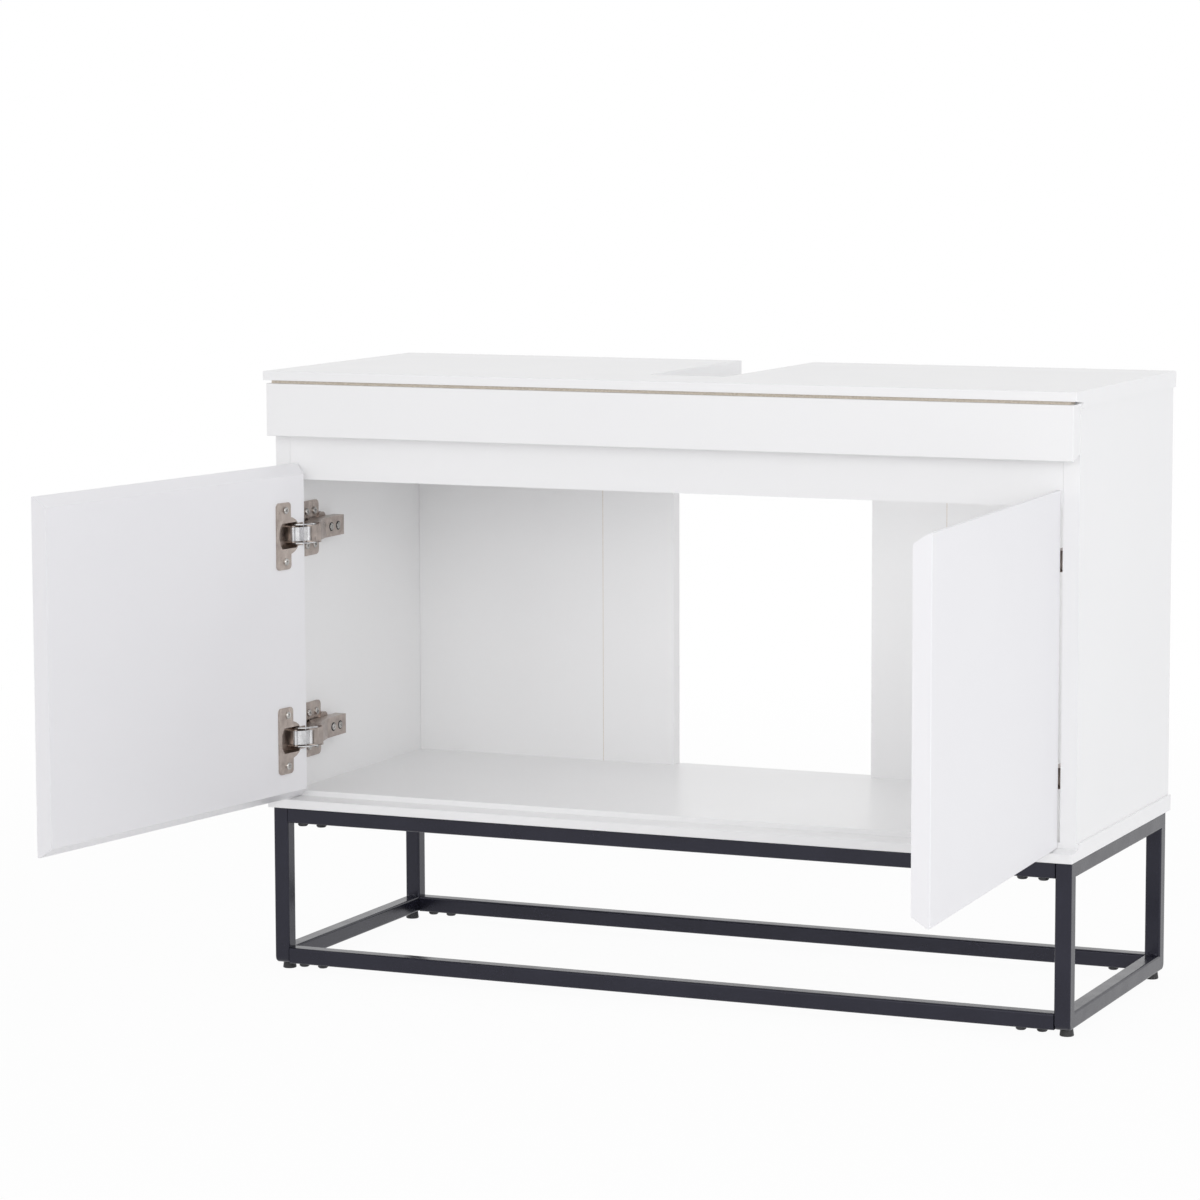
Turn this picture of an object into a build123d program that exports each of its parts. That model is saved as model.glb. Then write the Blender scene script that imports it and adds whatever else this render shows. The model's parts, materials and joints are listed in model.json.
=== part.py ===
from build123d import *
from math import atan2, cos, degrees, hypot, radians, sin
import os

# A two-door wash-basin base unit on a welded and bolted square-tube frame. Millimetres, Z up.
# X runs along the front, +X to the right of someone facing the doors; the doors face -Y.
# The origin is on the floor, under the middle of the top board.

# ---- boards ----
WIDTH = 790.0            # top and base boards, left to right
DEPTH = 310.0            # top and base boards, front to back
BOARD = 15.0             # thickness of every board of the carcass
SIDE_HEIGHT = 382.0      # side panels, posts and back panels
SIDE_INSET = 2.5         # side panels and steel frame, behind the ends of the boards
FRONT_SETBACK = 20.0     # side panels and rail, behind the front edges of the boards
NOSE_FACE = 8.5          # height of the front edge of the top and base boards
NOSE_STEP = 5.0          # rebate that the side panels' front line leaves behind the nose
EDGE_ROUND = 0.8         # radius of the visible board edges
SEAM = 0.15              # gap between boards that butt edge to edge

# ---- basin waste slot in the top board ----
SLOT_WIDTH = 75.0
SLOT_LENGTH = 229.0      # from the back edge
SLOT_CORNER = 4.0

# ---- fixed front ----
FRONT_INSET = 3.0        # ends of the fixed front, inside the ends of the boards
FRONT_FACE = 1.0         # fixed front and closed doors, behind the boards' front edges
FRONT_HEIGHT = 49.0
FRONT_TOP_GAP = 3.0      # below the nose of the top board
GRIP_RISE = 5.0          # slope of its lower edge, for the fingers
GRIP_FLAT = 3.0
RAIL_HEIGHT = 87.0

# ---- back ----
POST_WIDTH = 75.0
BACK_OPENING = 205.0

# ---- doors ----
DOOR_THICKNESS = 16.0
DOOR_GAP = 3.0           # between the two doors
DOOR_SIDE_INSET = 3.5    # outer edge of a closed door, inside the end of the boards
DOOR_BOTTOM_GAP = 1.5    # above the nose of the base board
FINGER_GAP = 26.5        # between the doors and the fixed front
DOOR_BEVEL = 9.0         # how far the grip bevel runs in, on the top, bottom and hinge edges
BEVEL_LAND = 3.0         # square part of a bevelled edge, at the outer face
LEFT_DOOR_OPEN = 98.0    # degrees open at rest
RIGHT_DOOR_OPEN = 92.5
DOOR_LIMIT = 98.0        # degrees, widest opening

# ---- cup hinges, in their own frame: x from the panel's inner face, y behind its front edge ----
HINGE_SPACING = 192.0
HINGE_FROM_BOTTOM = 58.5  # lower hinge above the bottom edge of the door
CUP_RADIUS = 17.3
CUP_DEPTH = 11.5
CUP_EDGE = 34.0          # cup centre from the door's hinge edge
CUP_WALL = 1.0
CUP_SLOT_WIDTH = 24.0    # opening in the cup, along Z
CUP_BORE_CLEARANCE = 0.2
TROUGH_START = 12.0      # entry trough that the links pass through, from the door's hinge edge
TROUGH_DEPTH = 5.8
FLANGE_HEIGHT = 62.5
FLANGE_WIDTH = 22.5
FLANGE_THICKNESS = 1.2
FLANGE_FAR_EDGE = 54.0   # far side of the flange from the door's hinge edge
CUP_SCREW_SPACING = 48.0
CUP_SCREW_OFFSET = 6.0   # screws further from the hinge edge than the cup's centre
POLE = (3.0, -17.4)      # turning a closed door about this line lays it in its open place
POLE_ANGLE = 93.0        # degrees of that turn
CUP_PIN = (8.0, -6.5)    # pin of the carrying link in the cup, door closed
ARM_PIN_REACH = 22.0     # pin of the carrying link in the arm, from the pole
INNER_CUP_END = (9.5, -10.6)  # free end of the inner links, door closed
INNER_ARM_PIN = (26.0, -5.0)
PIN_RADIUS = 1.2
PIN_CLEARANCE = 0.06
EYE_RADIUS = 2.4
LINK_HALF_WIDTH = 6.5
LINK_THICKNESS = 1.6
SIDE_PLAY = 0.3          # between neighbouring layers of a hinge, along Z
EAR = 1.1                # thickness of the arm's nose sides and of the cup's pin ears
LINK_BOW = 2.6           # how far the carrying link bows, to clear the door's edge when open
INNER_LINK_HALF = 1.6    # half width of an inner link plate
INNER_LINK_BOW = 3.0
ARM_HALF_WIDTH = 9.4
ARM_WALL = 1.3
ARM_REAR = 80.0
ARM_HEIGHT = 15.0        # rear part of the arm, off the panel
ARM_FOOT = 4.0
ARM_FLAT_FRONT = 42.0    # where the arm starts to rise towards the door
NOSE_START = 2.0         # the arm is narrower in front of this
PLATE_FRONT = 19.0
PLATE_REAR = 53.0
PLATE_HEIGHT = 52.0
PLATE_THICKNESS = 2.0
PLATE_SCREW_ROWS = 32.0
PLATE_SCREW_COLUMNS = 15.5
SADDLE_HALF_WIDTH = 7.6
SADDLE_FRONT = 24.0
SADDLE_REAR = 74.0
SADDLE_LUG = (50.0, 64.0)  # lug above the arm, along Y
SADDLE_LUG_TOP = 13.5
ADJUSTER_PLACES = (54.0, 68.0)
ADJUSTER_RADIUS = 2.0
ADJUSTER_LENGTH = 10.0

# ---- screws and dowels ----
SCREW_RADIUS = 1.75
SCREW_HEAD_RADIUS = 3.4
SCREW_HEAD = 1.6
PLATE_SCREW_DEPTH = 11.0  # of thread in the side panel
CUP_SCREW_DEPTH = 11.0    # of thread in the door
FIT_CLEARANCE = 0.1      # round a dowel or shank, in its hole
DOWEL_RADIUS = 4.0
DOWEL_LENGTH = 29.0
DOWEL_IN_BOARD = 10.5
BASE_SCREW_RADIUS = 2.4
BASE_SCREW_LENGTH = 50.0
BASE_SCREW_HEAD_RADIUS = 4.5
BASE_SCREW_HEAD = 3.0
FRONT_SCREW_LENGTH = 28.0

# ---- steel frame ----
FRAME_HEIGHT = 150.0
FRAME_DEPTH = 297.0
TUBE = 15.0
TUBE_WALL = 1.2
TUBE_CORNER = 2.0
FRAME_BEND = 6.0         # outer radius of the side frames' bottom corners
SPIGOT_LENGTH = 44.0
SPIGOT_CLEARANCE = 0.15
RAIL_BOLT_PLACES = (12.5, 32.0)   # from the inner face of the side frame
RAIL_BOLT_RADIUS = 2.5
RAIL_BOLT_HEAD_RADIUS = 4.8
RAIL_BOLT_HEAD = 3.0
FRAME_SCREW_INSET = 35.0  # from the front and back of the frame
FRAME_SCREW_LENGTH = 12.0  # in the base board

# ---- feet ----
FOOT_RADIUS = 6.5
FOOT_TOP_RADIUS = 5.6
FOOT_HEIGHT = 7.0
FOOT_SETBACK = 15.5      # foot centres, from the front and back of the frame
FOOT_STUD_RADIUS = 3.0
FOOT_STUD_LENGTH = 11.0

# ---- derived places ----
HALF_WIDTH = WIDTH / 2
FRONT = -DEPTH / 2
BACK = DEPTH / 2
PANEL_FRONT = FRONT + FRONT_SETBACK
FRAME_TOP = FOOT_HEIGHT + FRAME_HEIGHT
BASE_TOP = FRAME_TOP + BOARD
TOP_BOTTOM = BASE_TOP + SIDE_HEIGHT
TOP = TOP_BOTTOM + BOARD
SIDE_OUTER = HALF_WIDTH - SIDE_INSET
SIDE_INNER = SIDE_OUTER - BOARD
NOSE_FALL = BOARD - NOSE_STEP - NOSE_FACE
FRONT_TOP = TOP - NOSE_FACE - FRONT_TOP_GAP
FRONT_BOTTOM = FRONT_TOP - FRONT_HEIGHT
DOOR_BOTTOM = FRAME_TOP + NOSE_FACE + DOOR_BOTTOM_GAP
DOOR_TOP = FRONT_BOTTOM - FINGER_GAP
DOOR_WIDTH = HALF_WIDTH - DOOR_SIDE_INSET - DOOR_GAP / 2
DOOR_OUTER = FRONT_FACE - FRONT_SETBACK          # hinge frame y of the closed outer face
DOOR_INNER = DOOR_OUTER + DOOR_THICKNESS
DOOR_EDGE = DOOR_SIDE_INSET - SIDE_INSET - BOARD  # hinge frame x of the closed hinge edge
CUP_X = DOOR_EDGE + CUP_EDGE
CUP_SCREW_X = CUP_X + CUP_SCREW_OFFSET
CUP_FLOOR = DOOR_INNER - CUP_DEPTH + CUP_WALL
HINGE_HEIGHTS = (DOOR_BOTTOM + HINGE_FROM_BOTTOM, DOOR_BOTTOM + HINGE_FROM_BOTTOM + HINGE_SPACING)
EAR_INNER = LINK_HALF_WIDTH + SIDE_PLAY
EAR_OUTER = EAR_INNER + EAR
INNER_LINK_Z = EAR_OUTER + SIDE_PLAY
INNER_LINK_OUTER = INNER_LINK_Z + EAR
PLATE_SCREW_Y = (PLATE_FRONT + PLATE_REAR) / 2


def turned(point, centre, angle):
    """The XY point, turned about a centre by an angle in degrees."""
    c, s = cos(radians(angle)), sin(radians(angle))
    x, y = point[0] - centre[0], point[1] - centre[1]
    return (centre[0] + c * x - s * y, centre[1] + s * x + c * y)


def heading(start, end):
    return degrees(atan2(end[1] - start[1], end[0] - start[0]))


def distance(start, end):
    return hypot(end[0] - start[0], end[1] - start[1])


# A link's arm pin lies where it is as far from its cup pin with the door closed as with it open.
ARM_PIN_HEADING = radians(heading(POLE, CUP_PIN) - POLE_ANGLE / 2)
ARM_PIN = (POLE[0] + ARM_PIN_REACH * cos(ARM_PIN_HEADING),
           POLE[1] + ARM_PIN_REACH * sin(ARM_PIN_HEADING))
CUP_PIN_OPEN = turned(CUP_PIN, POLE, -POLE_ANGLE)
LINK_LENGTH = distance(ARM_PIN, CUP_PIN)
LINK_TURN = heading(ARM_PIN, CUP_PIN_OPEN) - heading(ARM_PIN, CUP_PIN) + 360.0
LINK_RATIO = LINK_TURN / POLE_ANGLE      # turn of the carrying link for each degree of door
INNER_END_OPEN = turned(INNER_CUP_END, POLE, -POLE_ANGLE)
INNER_TURN = heading(INNER_ARM_PIN, INNER_END_OPEN) - heading(INNER_ARM_PIN, INNER_CUP_END)
INNER_RATIO = INNER_TURN / POLE_ANGLE


def to_cabinet(shape, height=0.0):
    """Moves a shape from the left hinge's own frame to the cabinet's."""
    return Pos(-SIDE_INNER, PANEL_FRONT, height) * shape


def mirrored(shape):
    return shape.mirror(Plane.YZ)


def block(x, y, z):
    """A box from three (low, high) pairs."""
    size = (x[1] - x[0], y[1] - y[0], z[1] - z[0])
    centre = ((x[0] + x[1]) / 2, (y[0] + y[1]) / 2, (z[0] + z[1]) / 2)
    return Pos(*centre) * Box(*size)


def rod(start, direction, radius, length):
    """A cylinder that starts at a point and runs along a direction."""
    return Plane(origin=start, z_dir=direction) * Cylinder(
        radius, length, align=(Align.CENTER, Align.CENTER, Align.MIN))


def outline(points, low, high):
    """A closed XY outline, extruded from one height to another."""
    face = make_face(Polyline(*points, close=True))
    return Pos(0, 0, low) * extrude(face, high - low)


def side_profile(points, x):
    """A closed (y, z) outline, extruded along X between a (low, high) pair."""
    wire = Polyline(*[(x[0], y, z) for y, z in points], close=True)
    return extrude(make_face(wire), x[1] - x[0], dir=(1, 0, 0))


def capsule(start, end, radius, low, high):
    """A plate with round ends between two XY points."""
    length = distance(start, end)
    body = Box(length, 2 * radius, high - low, align=(Align.MIN, Align.CENTER, Align.MIN))
    for place in (0, length):
        body += Pos(place, 0, 0) * Cylinder(
            radius, high - low, align=(Align.CENTER, Align.CENTER, Align.MIN))
    return Pos(start[0], start[1], low) * (Rot(0, 0, heading(start, end)) * body)


def group(solids):
    return Compound(children=[Solid(s.solids()[0].wrapped) for s in solids])


# ---- boards ----

def board_profile(base, up):
    """Side outline of the top board (up = 1) or base board (up = -1), from its plain face."""
    def z(height):
        return base + up * height
    return [(FRONT, z(BOARD)), (BACK, z(BOARD)), (BACK, z(0)), (PANEL_FRONT, z(0)),
            (PANEL_FRONT, z(NOSE_STEP)), (FRONT, z(NOSE_STEP + NOSE_FALL))]


def dowel_places():
    """(x, y) of the dowels between each side panel and the boards above and below it."""
    x = SIDE_OUTER - BOARD / 2
    inset = DEPTH / 4
    return [(side * x, y) for side in (-1, 1) for y in (PANEL_FRONT + inset, BACK - inset)]


def back_dowel_places():
    """(x, y) of the dowels over each back panel and post."""
    y = BACK - BOARD / 2
    xs = [BACK_OPENING / 2 + POST_WIDTH / 2, BACK_OPENING / 2 + POST_WIDTH + back_panel_width() / 2]
    return [(side * x, y) for side in (-1, 1) for x in xs]


def base_screw_places():
    x = SIDE_OUTER - BOARD / 2
    inset = DEPTH / 5
    return [(side * x, y) for side in (-1, 1) for y in (PANEL_FRONT + inset, BACK - inset)]


def frame_screw_places():
    x = SIDE_OUTER - TUBE / 2
    y = FRAME_DEPTH / 2 - FRAME_SCREW_INSET
    return [(side_x * x, side_y * y) for side_x in (-1, 1) for side_y in (-1, 1)]


def back_panel_width():
    return SIDE_INNER - BACK_OPENING / 2 - POST_WIDTH


def dowel_bottom(top_side):
    """Height of the lower end of a dowel in the top joint or in the base joint."""
    return TOP_BOTTOM + DOWEL_IN_BOARD - DOWEL_LENGTH if top_side else BASE_TOP - DOWEL_IN_BOARD


def dowel_holes(places, top_side):
    radius = DOWEL_RADIUS + FIT_CLEARANCE
    low = dowel_bottom(top_side) - FIT_CLEARANCE
    return [rod((x, y, low), (0, 0, 1), radius, DOWEL_LENGTH + 2 * FIT_CLEARANCE) for x, y in places]


def top_board():
    body = side_profile(board_profile(TOP_BOTTOM, 1), (-HALF_WIDTH, HALF_WIDTH))
    outer = body.edges().filter_by(Axis.X).group_by(Axis.Z)[-1]
    ends = body.edges().filter_by(GeomType.LINE).filter_by(Axis.Y).group_by(Axis.Z)[-1]
    uprights = body.edges().filter_by(Axis.Z).group_by(Axis.Y)[0]
    body = fillet(outer + ends + uprights, EDGE_ROUND)
    slot = block((-SLOT_WIDTH / 2, SLOT_WIDTH / 2), (BACK - SLOT_LENGTH, BACK + BOARD),
                 (TOP_BOTTOM - BOARD, TOP + BOARD))
    slot = fillet(slot.edges().filter_by(Axis.Z).group_by(Axis.Y)[0], SLOT_CORNER)
    body -= slot
    for hole in dowel_holes(dowel_places() + back_dowel_places() + rail_dowel_places(), True):
        body -= hole
    return body


def base_board():
    body = side_profile(board_profile(BASE_TOP, -1), (-HALF_WIDTH, HALF_WIDTH))
    outer = body.edges().filter_by(Axis.X).group_by(Axis.Z)[0]
    ends = body.edges().filter_by(GeomType.LINE).filter_by(Axis.Y).group_by(Axis.Z)[0]
    uprights = body.edges().filter_by(Axis.Z).group_by(Axis.Y)[0]
    body = fillet(outer + ends + uprights, EDGE_ROUND)
    for hole in dowel_holes(dowel_places() + back_dowel_places(), False):
        body -= hole
    for x, y in base_screw_places():
        body -= rod((x, y, FRAME_TOP - 1), (0, 0, 1), BASE_SCREW_RADIUS + FIT_CLEARANCE, BOARD + 2)
        body -= rod((x, y, FRAME_TOP - 1), (0, 0, 1), BASE_SCREW_HEAD_RADIUS + FIT_CLEARANCE,
                    BASE_SCREW_HEAD + 1)
    for x, y in frame_screw_places():
        body -= rod((x, y, FRAME_TOP - 1), (0, 0, 1), SCREW_RADIUS + FIT_CLEARANCE,
                    FRAME_SCREW_LENGTH + 1 + FIT_CLEARANCE)
    return body


def plate_screw_places():
    """(y, z) of the mounting plates' screws, in the hinge frame and in cabinet heights."""
    columns = [PLATE_SCREW_Y + k * PLATE_SCREW_COLUMNS / 2 for k in (-1, 1)]
    rows = [height + k * PLATE_SCREW_ROWS / 2 for height in HINGE_HEIGHTS for k in (-1, 1)]
    return [(y, z) for y in columns for z in rows]


def left_side_panel():
    body = block((-SIDE_OUTER, -SIDE_INNER), (PANEL_FRONT, BACK), (BASE_TOP, TOP_BOTTOM))
    for top_side in (True, False):
        for hole in dowel_holes([p for p in dowel_places() if p[0] < 0], top_side):
            body -= hole
    for x, y in base_screw_places():
        body -= rod((x, y, BASE_TOP - 1), (0, 0, 1), BASE_SCREW_RADIUS + FIT_CLEARANCE,
                    BASE_SCREW_LENGTH - BOARD + 1 + FIT_CLEARANCE)
    for y, z in plate_screw_places():
        body -= rod((-SIDE_INNER + 1, PANEL_FRONT + y, z), (-1, 0, 0), SCREW_RADIUS + FIT_CLEARANCE,
                    PLATE_SCREW_DEPTH + 1 + FIT_CLEARANCE)
    return body


def left_back_panel():
    x = -BACK_OPENING / 2 - POST_WIDTH
    body = block((x - back_panel_width() + SEAM, x - SEAM), (BACK - BOARD, BACK),
                 (BASE_TOP, TOP_BOTTOM))
    for top_side in (True, False):
        for hole in dowel_holes(back_dowel_places(), top_side):
            body -= hole
    return body


def left_back_post():
    x = -BACK_OPENING / 2
    body = block((x - POST_WIDTH, x), (BACK - BOARD, BACK), (BASE_TOP, TOP_BOTTOM))
    for top_side in (True, False):
        for hole in dowel_holes(back_dowel_places(), top_side):
            body -= hole
    return body


def front_screw_places():
    """(x, z) of the screws that hold the fixed front to the rail."""
    z = (FRONT_TOP + FRONT_BOTTOM + GRIP_RISE) / 2
    return [(k * WIDTH / 6, z) for k in (-2, -1, 1, 2)]


def front_rail():
    body = block((-SIDE_INNER + SEAM, SIDE_INNER - SEAM), (PANEL_FRONT, PANEL_FRONT + BOARD),
                 (TOP_BOTTOM - RAIL_HEIGHT, TOP_BOTTOM))
    for x, z in front_screw_places():
        body -= rod((x, PANEL_FRONT + BOARD + 1, z), (0, -1, 0), SCREW_RADIUS + FIT_CLEARANCE,
                    BOARD + 2)
    for x, y in rail_dowel_places():
        body -= rod((x, y, dowel_bottom(True) - FIT_CLEARANCE), (0, 0, 1),
                    DOWEL_RADIUS + FIT_CLEARANCE, DOWEL_LENGTH + 2 * FIT_CLEARANCE)
    return body


def rail_dowel_places():
    return [(side * WIDTH / 4, PANEL_FRONT + BOARD / 2) for side in (-1, 1)]


def false_front():
    face = FRONT + FRONT_FACE
    points = [(face, FRONT_BOTTOM), (face, FRONT_TOP), (PANEL_FRONT, FRONT_TOP),
              (PANEL_FRONT, FRONT_BOTTOM + GRIP_RISE), (face + GRIP_FLAT, FRONT_BOTTOM)]
    half = HALF_WIDTH - FRONT_INSET
    body = side_profile(points, (-half, half))
    body = fillet(body.faces().sort_by(Axis.Y)[0].edges(), EDGE_ROUND)
    for x, z in front_screw_places():
        body -= rod((x, PANEL_FRONT + 1, z), (0, -1, 0), SCREW_RADIUS + FIT_CLEARANCE,
                    FRONT_SCREW_LENGTH - BOARD + 1 + FIT_CLEARANCE)
    return body


def dowels():
    side = [rod((x, y, dowel_bottom(top_side)), (0, 0, 1), DOWEL_RADIUS, DOWEL_LENGTH)
            for top_side in (True, False) for x, y in dowel_places() + back_dowel_places()]
    rail = [rod((x, y, dowel_bottom(True)), (0, 0, 1), DOWEL_RADIUS, DOWEL_LENGTH)
            for x, y in rail_dowel_places()]
    return group(side + rail)


def screw(start, direction, length, radius=SCREW_RADIUS, head_radius=SCREW_HEAD_RADIUS,
          head=SCREW_HEAD, recess=0.9):
    """A screw whose head's underside is at start; its shank runs along the direction."""
    body = rod(start, direction, radius, length)
    back = tuple(-k for k in direction)
    cap = rod(start, back, head_radius, head)
    rim = cap.edges().filter_by(GeomType.CIRCLE).sort_by(
        lambda e: (e.center() - Vector(*start)).dot(Vector(*back)))[-1]
    cap = chamfer(rim, head * 0.35)
    tip = tuple(s + d * head for s, d in zip(start, back))
    socket = rod(tip, direction, head_radius * 0.45, head * recess * 0.8)
    return body + cap - socket


def base_screws():
    return group([screw((x, y, FRAME_TOP + BASE_SCREW_HEAD), (0, 0, 1),
                        BASE_SCREW_LENGTH - BASE_SCREW_HEAD, BASE_SCREW_RADIUS,
                        BASE_SCREW_HEAD_RADIUS, BASE_SCREW_HEAD - 0.2)
                  for x, y in base_screw_places()])


def false_front_screws():
    return group([screw((x, PANEL_FRONT + BOARD, z), (0, -1, 0), FRONT_SCREW_LENGTH)
                  for x, z in front_screw_places()])


# ---- doors ----

def door_blank():
    """The closed left door in the hinge frame, with its grip bevels, before any hinge bores."""
    right = DOOR_EDGE + DOOR_WIDTH
    plain = block((DOOR_EDGE, right), (DOOR_OUTER, DOOR_INNER), (DOOR_BOTTOM, DOOR_TOP))
    inner_line = DOOR_OUTER + BEVEL_LAND
    hinge_bevel = outline([(DOOR_EDGE, inner_line), (DOOR_EDGE + DOOR_BEVEL, DOOR_INNER),
                           (DOOR_EDGE - 1, DOOR_INNER), (DOOR_EDGE - 1, inner_line)],
                          DOOR_BOTTOM - 1, DOOR_TOP + 1)
    span = (DOOR_EDGE - 1, right + 1)
    top_bevel = side_profile([(inner_line, DOOR_TOP), (DOOR_INNER, DOOR_TOP - DOOR_BEVEL),
                              (DOOR_INNER, DOOR_TOP + 1), (inner_line, DOOR_TOP + 1)], span)
    bottom_bevel = side_profile([(inner_line, DOOR_BOTTOM), (DOOR_INNER, DOOR_BOTTOM + DOOR_BEVEL),
                                 (DOOR_INNER, DOOR_BOTTOM - 1), (inner_line, DOOR_BOTTOM - 1)], span)
    body = plain - hinge_bevel - top_bevel - bottom_bevel
    return fillet(body.faces().sort_by(Axis.Y)[0].edges(), EDGE_ROUND)


def trough(grow, top):
    """The entry trough beside the cup, in the hinge frame, its walls grown by an amount."""
    half = INNER_LINK_OUTER + SIDE_PLAY + grow
    return block((DOOR_EDGE + TROUGH_START - grow, CUP_X), (DOOR_INNER - TROUGH_DEPTH - grow, top),
                 (-half, half))


def left_door():
    body = door_blank()
    for z in HINGE_HEIGHTS:
        body -= Pos(0, 0, z) * trough(CUP_WALL + CUP_BORE_CLEARANCE, DOOR_INNER + 1)
        body -= rod((CUP_X, DOOR_INNER + 1, z), (0, -1, 0), CUP_RADIUS + CUP_BORE_CLEARANCE,
                    CUP_DEPTH + 1.3)
        for k in (-1, 1):
            body -= rod((CUP_SCREW_X, DOOR_INNER + 1, z + k * CUP_SCREW_SPACING / 2), (0, -1, 0),
                        SCREW_RADIUS + FIT_CLEARANCE, CUP_SCREW_DEPTH + 1 + FIT_CLEARANCE)
    return body


# ---- hinge pieces, each at height 0 in the hinge frame, door closed ----

def bowed(start, end, bow):
    """Points from start to end that bow out on the clockwise side of that direction."""
    angle = radians(heading(start, end))
    along, across = (cos(angle), sin(angle)), (sin(angle), -cos(angle))
    reach = distance(start, end)

    def place(share, side):
        return tuple(s + share * reach * a + side * c for s, a, c in zip(start, along, across))
    return [start, place(0.3, bow), place(0.6, bow), end]


def bowed_plate(start, end, bow, half, low, high):
    """A plate of even width along a bowed route, with round ends and bends."""
    route = bowed(start, end, bow)
    body = capsule(route[0], route[1], half, low, high)
    for a, b in zip(route[1:-1], route[2:]):
        body += capsule(a, b, half, low, high)
    return body


def hinge_cup():
    flange_y = (DOOR_INNER, DOOR_INNER + FLANGE_THICKNESS)
    far = DOOR_EDGE + FLANGE_FAR_EDGE
    plate = block((far - FLANGE_WIDTH, far), flange_y, (-FLANGE_HEIGHT / 2, FLANGE_HEIGHT / 2))
    plate = fillet(plate.edges().filter_by(Axis.Y), 4.0)
    for k in (-1, 1):
        plate -= rod((CUP_SCREW_X, DOOR_INNER - 1, k * CUP_SCREW_SPACING / 2), (0, 1, 0),
                     SCREW_RADIUS + FIT_CLEARANCE, FLANGE_THICKNESS + 2)
    drum = rod((CUP_X, DOOR_INNER + FLANGE_THICKNESS, 0), (0, -1, 0), CUP_RADIUS,
               CUP_DEPTH + FLANGE_THICKNESS)
    hollow = rod((CUP_X, DOOR_INNER + FLANGE_THICKNESS + 1, 0), (0, -1, 0), CUP_RADIUS - CUP_WALL,
                 CUP_DEPTH + FLANGE_THICKNESS + 1 - CUP_WALL)
    hollow &= block((CUP_X - CUP_RADIUS, CUP_X + CUP_RADIUS), (CUP_FLOOR, DOOR_INNER + 5),
                    (-CUP_SLOT_WIDTH / 2, CUP_SLOT_WIDTH / 2))
    body = plate + drum + trough(CUP_WALL, DOOR_INNER) - hollow
    body -= trough(0.0, DOOR_INNER + 5)
    for side in (-1, 1):
        z = sorted((side * EAR_INNER, side * EAR_OUTER))
        ear = capsule(CUP_PIN, (CUP_PIN[0], CUP_FLOOR - 0.2), EYE_RADIUS, *z)
        ear &= block((CUP_X - CUP_RADIUS, CUP_X), (CUP_FLOOR - 0.2, DOOR_INNER), (z[0], z[1]))
        body += ear
    return body - upright(CUP_PIN, PIN_RADIUS, EAR_OUTER + 0.5)


def upright(place, radius, half):
    """A cylinder along Z, centred on height 0."""
    return Pos(place[0], place[1], 0) * Cylinder(radius, 2 * half)


def cup_pin():
    return upright(CUP_PIN, PIN_RADIUS, EAR_OUTER)


def arm_pins():
    return [upright(ARM_PIN, PIN_RADIUS, EAR_OUTER),
            upright(INNER_ARM_PIN, PIN_RADIUS, INNER_LINK_OUTER)]


def outer_link():
    """The wide carrying link: a bowed strip curled round its two pins."""
    half = LINK_HALF_WIDTH
    strip = bowed_plate(CUP_PIN, ARM_PIN, LINK_BOW, LINK_THICKNESS / 2, -half, half)
    for pin in (ARM_PIN, CUP_PIN):
        strip += upright(pin, EYE_RADIUS, half)
    for pin in (ARM_PIN, CUP_PIN):
        strip -= upright(pin, PIN_RADIUS + PIN_CLEARANCE, half + 1)
    return strip


def inner_link_plates():
    """The two inner link plates, outside the arm's nose; their cup ends are free."""
    hole = upright(INNER_ARM_PIN, PIN_RADIUS + PIN_CLEARANCE, INNER_LINK_OUTER + 1)
    layers = [sorted((side * INNER_LINK_Z, side * INNER_LINK_OUTER)) for side in (-1, 1)]
    return [bowed_plate(INNER_CUP_END, INNER_ARM_PIN, INNER_LINK_BOW, INNER_LINK_HALF, *z)
            + Pos(0, 0, (z[0] + z[1]) / 2) * upright(INNER_ARM_PIN, EYE_RADIUS, EAR / 2) - hole
            for z in layers]


def offset_line(points, gap):
    """A polyline's parallel, a gap to the left of its direction."""
    moved = []
    for i, point in enumerate(points):
        angles = []
        if i > 0:
            angles.append(radians(heading(points[i - 1], point)))
        if i < len(points) - 1:
            angles.append(radians(heading(point, points[i + 1])))
        middle = sum(angles) / len(angles)
        reach = gap / cos(angles[0] - middle)
        moved.append((point[0] - reach * sin(middle), point[1] + reach * cos(middle)))
    return moved


def arm_back():
    """Outer line of the arm's web, from the rear to the nose, on the cabinet's side."""
    return [(ARM_HEIGHT, ARM_REAR), (ARM_HEIGHT, ARM_FLAT_FRONT), (ARM_HEIGHT + 6, 18.0),
            (INNER_ARM_PIN[0] + 3.2, 5.0), (INNER_ARM_PIN[0] + 3.2, -6.0),
            (ARM_PIN[0] + EYE_RADIUS + ARM_WALL + SIDE_PLAY, ARM_PIN[1])]


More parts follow.
